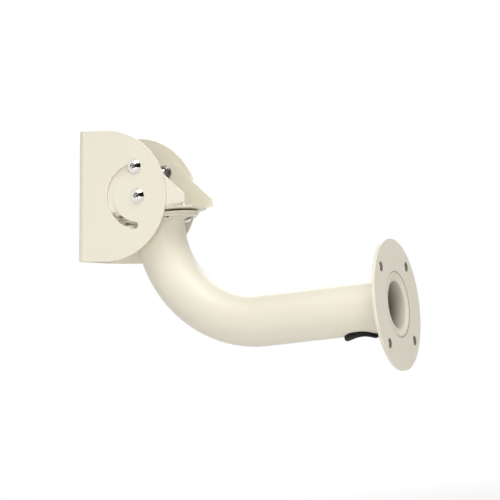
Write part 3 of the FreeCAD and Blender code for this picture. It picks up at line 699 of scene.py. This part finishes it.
# %% The three beads
FLANGE_THICKNESS = -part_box("wall_flange")[0].x
HEAD_PLATE_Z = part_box("head_plate")[0].z
ALONG_X = Matrix.Rotation(math.radians(90), 4, "Y")
ARM_PLACE = Matrix.Translation((-FLANGE_THICKNESS, 0, 0)) @ ALONG_X
HEAD_PLACE = Matrix.Translation((pan_x, 0, HEAD_PLATE_Z))
POOL_STEPS = 6
BEAD_NOISE = 5 * MM
WALL_SECTION = [
    (29.6, -0.7), (29.3, -0.5), (28.9, -0.25), (28.4, -0.02), (27.8, -0.02), (27.0, -0.35),
    (26.2, -0.8), (25.3, -1.3), (24.3, -1.8), (23.3, -2.2), (22.3, -2.7), (21.6, -3.4),
    (22.6, -3.8), (24.6, -3.3), (27.5, -2.1)]
FILLET_FACE = [(1.0, 0.0), (0.82, 0.28), (0.56, 0.52), (0.30, 0.78), (0.0, 1.0)]
ROOT_DEPTH = 0.8
ROOT_INSET = 0.2
ROOT_TOP = 0.6


def fillet_section(leg, buried):
    """A fillet bead between the tube and a plate. Its root lies buried in both by a little."""
    tube = TUBE_RADIUS / MM
    face = [(tube + leg * out, -leg * down) for out, down in FILLET_FACE]
    plate_side = [(tube - ROOT_DEPTH, buried), (tube + leg - ROOT_INSET, buried)]
    return plate_side + face + [(tube - ROOT_DEPTH, ROOT_TOP - leg)]


def bead(name, node, section, place, pools, pool_depth, noise_depth, seed):
    """A weld bead from its section, (radius, height) points in millimetres round Z."""
    outline = [(radius * MM, height * MM) for radius, height in section]
    ring = to_mesh(turned(outline, POOL_STEPS * pools, closed=True), name)
    mesh = run_group(weld_pools, {
        "Pools": pools, "Pool Depth": pool_depth * MM, "Noise Size": BEAD_NOISE,
        "Noise Depth": noise_depth * MM, "Seed": seed, "Material": paint}, ring)
    mesh.transform(place)
    for vertex in mesh.vertices:
        vertex.co.x = min(vertex.co.x, 0.0)
    new_piece(name, mesh, "wall_arm", [node])
    print(name, len(mesh.polygons), "faces")


bead("wall_side_bead", "wall_side_weld", WALL_SECTION, ALONG_X,
     pools=34, pool_depth=0.2, noise_depth=0.55, seed=3.0)
bead("arm_side_bead", "arm_side_weld", fillet_section(3.0, 0.5), ARM_PLACE,
     pools=66, pool_depth=0.35, noise_depth=0.35, seed=7.0)
bead("head_bead", "head_weld", fillet_section(1.3, 0.0), HEAD_PLACE,
     pools=80, pool_depth=0.16, noise_depth=0.2, seed=11.0)

# %% [markdown]
# ## Rubber trim of the cable hole
# The cable leaves through a long hole in the underside of the tube, and a thick moulded rubber ring
# with a groove in it grips the rim. The ring isn't flat: it follows the round tube. Each point of
# its section has a distance out from the hole's edge and a height over the tube's skin, and one
# short formula bends the ring onto the tube. The lip is lower along the hole's long sides than at
# its ends. A flat ring with a bend modifier would miss the true circle.

# %% The trim as a bent ring
TRIM_STEPS = 160
TRIM_HALF = hole_high.y
LIP_LOSS = 0.35
LIP_START = 0.1
TRIM_SHARP = math.radians(60)
TRIM_SECTION = [
    (2.3, 0.05), (2.3, 2.5), (2.1, 3.2), (1.5, 3.8), (0.7, 4.0), (-0.6, 4.0), (-1.5, 3.75),
    (-2.05, 3.1), (-2.3, 2.0), (-2.3, -1.4), (-2.15, -2.7), (-1.7, -3.5), (-1.0, -3.85),
    (0.0, -3.9), (1.2, -3.86), (1.9, -3.6), (2.3, -3.0), (2.3, -2.35), (0.05, -2.32),
    (0.05, -0.02)]


def rim_point(share):
    """A point and the outward direction on the hole's edge, seen from below."""
    straight = HOLE_LENGTH - HOLE_WIDTH
    radius = HOLE_WIDTH / 2
    along = share * (2 * straight + 2 * math.pi * radius)
    side = 1
    if along > straight + math.pi * radius:
        along -= straight + math.pi * radius
        side = -1
    if along < straight:
        return side * (along - straight / 2), -side * radius, 0, -side
    angle = (along - straight) / radius - math.pi / 2
    x, y = math.cos(angle), math.sin(angle)
    return side * (straight / 2 + radius * x), side * radius * y, side * x, side * y


def trim_mesh():
    """The trim's section, run round the hole's edge and bent onto the tube."""
    shape = bmesh.new()
    rings = []
    for out, height in TRIM_SECTION:
        ring = []
        for step in range(TRIM_STEPS):
            x, y, across_x, across_y = rim_point(step / TRIM_STEPS)
            x += out * MM * across_x
            y += out * MM * across_y
            lift = 1 - LIP_LOSS * abs(y) / TRIM_HALF if height > LIP_START else 1
            z = -math.sqrt((TUBE_RADIUS + height * lift * MM) ** 2 - y ** 2)
            ring.append(shape.verts.new((x - hole_reach, y, z)))
        rings.append(ring)
    join_rings(shape, rings, closed=True)
    mesh = to_mesh(shape, "rubber_trim")
    mesh.set_sharp_from_angle(angle=TRIM_SHARP)
    return mesh


trim = new_piece("rubber_trim", trim_mesh(), "wall_arm", ["cable_grommet"], rubber)
print("trim:", len(trim.data.polygons), "faces")

# %% [markdown]
# ## Screws and nuts
# Four domed screws hold the camera mount on the yoke, and three smaller ones clamp the head. Each
# kind is made once, head up at the origin, and copied later. Two of its features are cuts, the
# cross recess of a screw and the turned corners of a nut, so one helper runs a Boolean on meshes.

# %% Carving one shape with another
def carve(target, tool, operation="DIFFERENCE"):
    """The target mesh with the tool taken away from it, or only what the two share."""
    block, cutter = (in_scene("carve", mesh) for mesh in (target, tool))
    modifier = block.modifiers.new("carve", "BOOLEAN")
    modifier.object = cutter
    modifier.operation = operation
    modifier.solver = "EXACT"
    return evaluated(block, cutter)


# %% [markdown]
# A rolled thread is a ridge that climbs one pitch in each turn. A stack of rings makes it without a
# sweep: the radius follows the height and the angle together, so the ridge winds by itself. The rod
# gets thinner at its tip, so that a nut finds it.

# %% A thread
THREAD_STEPS = 48
THREAD_ROWS = 10
TIP_LENGTH = 0.6
TIP_LOSS = 0.14


def thread(radius, pitch, low, high, depth):
    """A threaded rod from low to high, round Z."""
    shape = bmesh.new()
    count = round((high - low) / pitch * THREAD_ROWS)
    rings = []
    for row in range(count + 1):
        height = low + (high - low) * row / count
        tip = min(1.0, (height - low) / (TIP_LENGTH * pitch))
        ring = []
        for step in range(THREAD_STEPS):
            angle = 2 * math.pi * step / THREAD_STEPS
            phase = (height / pitch - angle / (2 * math.pi)) % 1.0
            groove = 1 - abs(2 * phase - 1)
            around = (radius - depth * groove) * (1 - TIP_LOSS + TIP_LOSS * tip)
            ring.append(shape.verts.new(polar(around, angle, height)))
        rings.append(ring)
    join_rings(shape, rings, capped=True)
    return to_mesh(shape, "thread")


# %% [markdown]
# A screw's head is struck from wire: a part of a sphere over a short straight rim. Its outline is
# turned, the cross is cut from it with a tool that narrows downwards, as the punch does, and a fine
# bevel breaks the edges so that they catch the light. The thread then hangs under the seat.

# %% A screw with a cross recess
CROSS_MOUTH = (0.3, 1.12, 1.072)
CROSS_FLOOR = (-1.0, 0.45, 0.67)
HEAD_SIDES = 72
DOME_STEPS = 14
HEAD_LIP = 0.15 * MM
HEAD_EDGE = 0.1 * MM
ROD_OVERLAP = 0.1 * MM
THREAD_DEPTH = 0.3


def cross_tool(top, length, width, depth):
    """A cross that narrows downwards. Each end has its rise, length and width as shares."""
    shape = bmesh.new()
    loops = []
    for rise, long_share, wide_share in (CROSS_MOUTH, CROSS_FLOOR):
        height = top + rise * depth
        end = length / 2 * long_share
        side = width / 2 * wide_share
        arm = [(end, -side), (end, side), (side, side)]
        loop = []
        for _ in range(4):
            loop += [shape.verts.new((x, y, height)) for x, y in arm]
            arm = [(-y, x) for x, y in arm]
        loops.append(loop)
    join_rings(shape, loops, capped=True)
    return to_mesh(shape, "cross", smooth=False)


def screw(head, height, rim, thread_radius, pitch, length, cross):
    """A screw, head up, with its seat at the origin. Sizes are in metres, and head is a radius."""
    dome = height - rim
    dome_radius = (head ** 2 + dome ** 2) / (2 * dome)
    outline = [(0, 0), (head - HEAD_LIP, 0), (head, HEAD_LIP)]
    sweep = math.asin(head / dome_radius)
    for step in range(DOME_STEPS):
        angle = sweep * (1 - step / DOME_STEPS)
        fall = dome_radius * (1 - math.cos(angle))
        outline.append((dome_radius * math.sin(angle), height - fall))
    outline.append((0, height))
    blank = to_mesh(turned(outline, HEAD_SIDES), "head")
    smooth_head = softened(merged(carve(blank, cross_tool(height, *cross))), HEAD_EDGE)
    rod = thread(thread_radius, pitch, -length, ROD_OVERLAP, THREAD_DEPTH * pitch)
    return to_mesh(joined(smooth_head, rod), "screw")


domed_screw = screw(
    head=7.0 * MM, height=4.2 * MM, rim=0.8 * MM, thread_radius=3.0 * MM, pitch=1.0 * MM,
    length=12 * MM, cross=(6.4 * MM, 1.5 * MM, 2.4 * MM))
small_screw = screw(
    head=5.0 * MM, height=3.4 * MM, rim=1.4 * MM, thread_radius=2.5 * MM, pitch=0.8 * MM,
    length=16 * MM, cross=(5.4 * MM, 1.3 * MM, 2.0 * MM))
print("screws:", len(domed_screw.polygons), "and", len(small_screw.polygons), "faces")

# %% [markdown]
# A nut is cut from hexagonal bar and turned off at its top, so its corners end in small curves. The
# same happens here: a hexagon keeps only what it shares with a turned limit, and a turned drill
# opens it. The nuts of the domed screws have a flange under them, which spreads their grip.

# %% A hexagon nut, with or without a flange
SLOPE = math.tan(math.radians(30))
CORNER_DROP = 0.1 * MM
TOP_SHARE = 0.97
BORE_CHAMFER = 0.4 * MM
BORE_SIDES = 48
FLANGE_EDGE = 1.0 * MM
FLANGE_LIP = 0.2 * MM
FLANGE_OVERLAP = 0.3 * MM
NUT_EDGE = 0.12 * MM


def nut(flats, height, bore, flange=0.0):
    """A nut that stands on its seat at the origin. Its corners are turned off at the top."""
    corner = flats / math.sqrt(3)
    drop = (corner - flats / 2) * SLOPE + CORNER_DROP
    hexagon = bmesh.new()
    bmesh.ops.create_cone(
        hexagon, cap_ends=True, segments=6, radius1=corner, radius2=corner, depth=height,
        matrix=Matrix.Translation((0, 0, height / 2)))
    limit = [
        (0, -MM), (corner + MM, -MM), (corner + MM, height - drop - MM * SLOPE),
        (flats / 2 * TOP_SHARE, height), (0, height)]
    limit_mesh = to_mesh(turned(limit, HEAD_SIDES), "limit")
    shaped = carve(to_mesh(hexagon, "hexagon", smooth=False), limit_mesh, "INTERSECT")
    over = height + BORE_CHAMFER
    drill = [
        (0, -MM), (bore, -MM), (bore, height - BORE_CHAMFER), (bore + 2 * BORE_CHAMFER, over),
        (0, over)]
    parts = [carve(shaped, to_mesh(turned(drill, BORE_SIDES), "drill"))]
    if flange:
        rim = flange / 2
        top = FLANGE_EDGE + (rim - flats / 2) * SLOPE
        skirt = [
            (bore, 0), (rim - FLANGE_LIP, 0), (rim, FLANGE_LIP), (rim, FLANGE_EDGE),
            (flats / 2 - FLANGE_OVERLAP, top), (bore, top)]
        parts.append(to_mesh(turned(skirt, HEAD_SIDES, closed=True), "skirt"))
    return softened(merged(*parts), NUT_EDGE)


flange_nut = nut(flats=10 * MM, height=6 * MM, bore=2.9 * MM, flange=14.2 * MM)
small_nut = nut(flats=8 * MM, height=4 * MM, bore=2.4 * MM)
print("nuts:", len(flange_nut.polygons), "and", len(small_nut.polygons), "faces")

# %% [markdown]
# A Geometry Nodes tree puts a copy of a fastener on every point of a small mesh. Each point says
# which way its screw looks and how far it was turned when it stopped, since no two crosses on a
# real bracket stand alike. Linked copies would do too, but one piece of each kind is simpler.

# %% A tree that puts fasteners on points
def fastener_group():
    """Instances of an object on points, each aligned to the point's axis and turned about it."""
    tree, given, output = new_group("fasteners_on_points", {
        "Geometry": ("Geometry", None),
        "Fastener": ("Object", None),
        "Material": ("Material", None)})
    axis, turn = (
        add(tree, "GeometryNodeInputNamedAttribute", {"Name": name}, data_type=kind)
        for name, kind in (("axis", "FLOAT_VECTOR"), ("turn", "FLOAT")))
    facing = add(tree, "FunctionNodeAlignRotationToVector", {"Vector": axis}, axis="Z")
    about = add(tree, "ShaderNodeCombineXYZ", {"Z": turn})
    spin = add(tree, "FunctionNodeEulerToRotation", {"Euler": about})
    both = add(tree, "FunctionNodeRotateRotation", {
        "Rotation": facing, "Rotate By": spin}, rotation_space="LOCAL")
    shape = add(tree, "GeometryNodeObjectInfo", {"Object": given["Fastener"]})
    placed = add(tree, "GeometryNodeInstanceOnPoints", {
        "Points": given["Geometry"], "Instance": shape.outputs["Geometry"], "Rotation": both})
    return end_group(tree, placed, given["Material"], output)


fasteners_on_points = fastener_group()


def fasteners(name, master, seats, nodes, material):
    """One piece of all fasteners of a kind. A seat is a point, an axis and a turn in degrees."""
    points = bpy.data.meshes.new(name)
    points.from_pydata([place for place, _, _ in seats], [], [])
    points.attributes.new("axis", "FLOAT_VECTOR", "POINT")
    points.attributes.new("turn", "FLOAT", "POINT")
    for index, (_, axis, turn) in enumerate(seats):
        points.attributes["axis"].data[index].vector = axis
        points.attributes["turn"].data[index].value = math.radians(turn)
    shape = bpy.data.objects.new(name + "_master", master)
    mesh = run_group(fasteners_on_points, {"Fastener": shape, "Material": material}, points)
    bpy.data.objects.remove(shape)
    new_piece(name, mesh, "pan_yoke", nodes)
    print(name, len(seats), "pieces,", len(mesh.polygons), "faces")


# %% [markdown]
# The pivot screw and the lock screw of each side go through the cheek of the camera mount and the
# ear of the yoke, and their nuts sit inside the ears. The tilt joint of the frame says where the
# pivot is and which way it looks. Each head keeps two hundredths of a millimetre from the cheek,
# which turns under it.

# %% Seats of the tilt screws
joints = {joint["name"]: joint for joint in frame["joints"]}
pivot = Vector(joints["tilt"]["pos_m"])
across = Vector(joints["tilt"]["axis"])
UP = Vector((0, 0, 1))
LOCK_RISE = 28 * MM
SEAT_GAP = 0.02 * MM
MOUNT_HALF = 41.5 * MM
EAR_INSIDE = 36.7 * MM
NEAR, FAR = -1, 1
SCREW_TURNS = {NEAR: (45, 40), FAR: (12, 64)}
TILT_NUT_TURN = 2
TILT_NAMES = ["pivot_{}_near", "lock_{}_near", "pivot_{}_far", "lock_{}_far"]

tilt_seats = []
tilt_nut_seats = []
for side, turns in SCREW_TURNS.items():
    for rise, turn in zip((0, LOCK_RISE), turns):
        outside = pivot + side * across * (MOUNT_HALF + SEAT_GAP) + UP * rise
        inside = pivot + side * across * EAR_INSIDE + UP * rise
        tilt_seats.append((outside, side * across, turn))
        tilt_nut_seats.append((inside, -side * across, turn * TILT_NUT_TURN))
fasteners("domed_screws", domed_screw, tilt_seats,
          [name.format("screw") for name in TILT_NAMES], bright_metal)
fasteners("flange_nuts", flange_nut, tilt_nut_seats,
          [name.format("nut") for name in TILT_NAMES], dark_metal)

# %% [markdown]
# Three smaller screws come up through the arc slots of the head plate and clamp the pan plate and
# the yoke on it, with their nuts on the yoke's base. They stand on one circle and turn with the
# yoke, so their places are angles on it, counted from the way that the yoke looks.

# %% Seats of the pan screws
PAN_CIRCLE = 31 * MM
YOKE_SHEET = 2.3 * MM
PAN_SCREWS = {-56: 20, 56: 75, 180: 50}
PAN_NUT_TURN = 1.7
pan_set = math.atan2(-across.x, across.y)
base_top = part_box("yoke")[0].z + YOKE_SHEET

pan_seats = []
pan_nut_seats = []
for angle, turn in PAN_SCREWS.items():
    direction = math.radians(angle) + pan_set
    x = pan_x + PAN_CIRCLE * math.cos(direction)
    y = PAN_CIRCLE * math.sin(direction)
    pan_seats.append((Vector((x, y, HEAD_PLATE_Z - SEAT_GAP)), -UP, turn))
    pan_nut_seats.append((Vector((x, y, base_top)), UP, turn * PAN_NUT_TURN))
fasteners("clamp_screws", small_screw, pan_seats,
          ["pan_screw_1", "pan_screw_2", "pan_screw_3"], bright_metal)
fasteners("clamp_nuts", small_nut, pan_nut_seats,
          ["pan_nut_1", "pan_nut_2", "pan_nut_3"], bright_metal)

# %% [markdown]
# ## The studio
# The bracket stands clear of a white floor in an even white room. Rays from the camera and mirrored
# rays see a room at full white, and the rays that carry diffuse light see a dimmer one, so the
# backdrop is white without more light on the paint. The floor glows in the same way away from the
# bracket, and stays matt near it, where it takes the soft shadow.

# %% World and floor
WHITE = (1, 1, 1, 1)
ROOM_WHITE = (1, 0.99, 0.97, 1)
ROOM_LIGHT = 0.37


def seen_directly(tree):
    """1 for camera, glossy and transmission rays, and 0 for the rays that carry diffuse light."""
    path = add(tree, "ShaderNodeLightPath").outputs
    some = calculate(tree, "MAXIMUM", path["Is Camera Ray"], path["Is Glossy Ray"])
    return calculate(tree, "MAXIMUM", some, path["Is Transmission Ray"])


def blend_shaders(tree, amount, first, second):
    """The first shader where the amount is 0 and the second where it is 1."""
    return add(tree, "ShaderNodeMixShader", {0: amount, 1: first, 2: second})


world = bpy.data.worlds.new("white_room")
bpy.context.scene.world = world
world.use_nodes = True
tree = world.node_tree
tree.nodes.clear()
backdrop = add(tree, "ShaderNodeBackground", {"Color": WHITE})
room = add(tree, "ShaderNodeBackground", {"Color": ROOM_WHITE, "Strength": ROOM_LIGHT})
either = blend_shaders(tree, seen_directly(tree), room, backdrop)
add(tree, "ShaderNodeOutputWorld", {"Surface": either})

FLOOR_Z = -0.24
FLOOR_REACH = 12.0
FLOOR_GREY = (0.8, 0.8, 0.8, 1)
GLOW_START = 0.3
GLOW_FULL = 0.9
GLOW_LEAST = 0.5
CORNERS = [(-1, -1), (1, -1), (1, 1), (-1, 1)]
floor_mesh = bpy.data.meshes.new("floor")
floor_mesh.from_pydata(
    [(x * FLOOR_REACH, y * FLOOR_REACH, FLOOR_Z) for x, y in CORNERS], [], [(0, 1, 2, 3)])
floor = in_scene("floor", floor_mesh)

floor_paint = bpy.data.materials.new("white_floor")
floor_paint.use_nodes = True
tree = floor_paint.node_tree
tree.nodes.clear()
away = distance(tree, add(tree, "ShaderNodeTexCoord").outputs["Object"], (1, 1, 0))
far = spread(tree, away, GLOW_LEAST, 1.0, GLOW_START, GLOW_FULL)
matt = add(tree, "ShaderNodeBsdfDiffuse", {"Color": FLOOR_GREY})
glow = add(tree, "ShaderNodeEmission", {"Color": WHITE})
mixed = blend_shaders(tree, calculate(tree, "MULTIPLY", seen_directly(tree), far), matt, glow)
add(tree, "ShaderNodeOutputMaterial", {"Surface": mixed})
floor_mesh.materials.append(floor_paint)
print("floor at z =", FLOOR_Z, "m")

# %% [markdown]
# Soft boxes give the plain, wide light of a catalogue picture: the key high over the camera, one
# low fill under the arm with a grid that keeps its light off the floor, a front fill, and one at
# the back. An area light with a narrow spread is a box with a grid. A bare lamp would make hard
# shadows that the picture doesn't have.

# %% Soft boxes
def soft_box(name, place, width, height, power, grid=180):
    """An area light that looks at the bracket. grid is the angle that its light keeps to."""
    light = bpy.data.lights.new(name, "AREA")
    light.shape = "RECTANGLE"
    light.size = width
    light.size_y = height
    light.energy = power
    light.spread = math.radians(grid)
    box = in_scene(name, light)
    box.location = place
    box.rotation_euler = (LOOK_AT - Vector(place)).to_track_quat("-Z", "Y").to_euler()
    box.visible_camera = False
    print(name, power, "W")


soft_box("key", (0.58, -1.08, 2.08), width=1.8, height=1.2, power=34)
soft_box("low_fill", (-0.02, -0.7, -0.2), width=1.6, height=0.3, power=0.58, grid=50)
soft_box("front_fill", (0.7, -1.7, 0.1), width=1.4, height=0.5, power=6.5)
soft_box("back", (-0.4, 1.8, 1.2), width=1.2, height=0.8, power=10)

# %% [markdown]
# Chrome shows what stands round it, and in a white room it would be white. A dark curtain stands
# round the front, and only mirrored rays see it: it gives the screws their black shapes between the
# white floor and the boxes, and takes no light from the paint.

# %% A dark curtain
CURTAIN_RADIUS = 1.25
CURTAIN_FROM = math.radians(-50)
CURTAIN_TO = math.radians(88)
CURTAIN_TOP = 1.0
CURTAIN_RISE = 0.02
CURTAIN_STEPS = 24
CLOTH_BLACK = (0.02, 0.018, 0.016, 1)

curtain_points = []
for step in range(CURTAIN_STEPS + 1):
    angle = CURTAIN_FROM + (CURTAIN_TO - CURTAIN_FROM) * step / CURTAIN_STEPS
    x = pan_x + CURTAIN_RADIUS * math.sin(angle)
    y = -CURTAIN_RADIUS * math.cos(angle)
    curtain_points += [(x, y, FLOOR_Z + CURTAIN_RISE), (x, y, CURTAIN_TOP)]
curtain_faces = [(k, k + 2, k + 3, k + 1) for k in range(0, 2 * CURTAIN_STEPS, 2)]
curtain_mesh = bpy.data.meshes.new("dark_curtain")
curtain_mesh.from_pydata(curtain_points, [], curtain_faces)
curtain = in_scene("dark_curtain", curtain_mesh)
curtain.visible_camera = False
curtain.visible_diffuse = False
curtain.visible_shadow = False
cloth = new_material("black_cloth", {"Base Color": CLOTH_BLACK, "Specular IOR Level": 0.0})[0]
curtain_mesh.materials.append(cloth)
print("curtain:", len(curtain_faces), "panels")

# %% [markdown]
# ## Colours as written
# The view transform Standard shows each colour as it was worked out, without a film look over it.

# %% View
bpy.context.scene.view_settings.view_transform = "Standard"
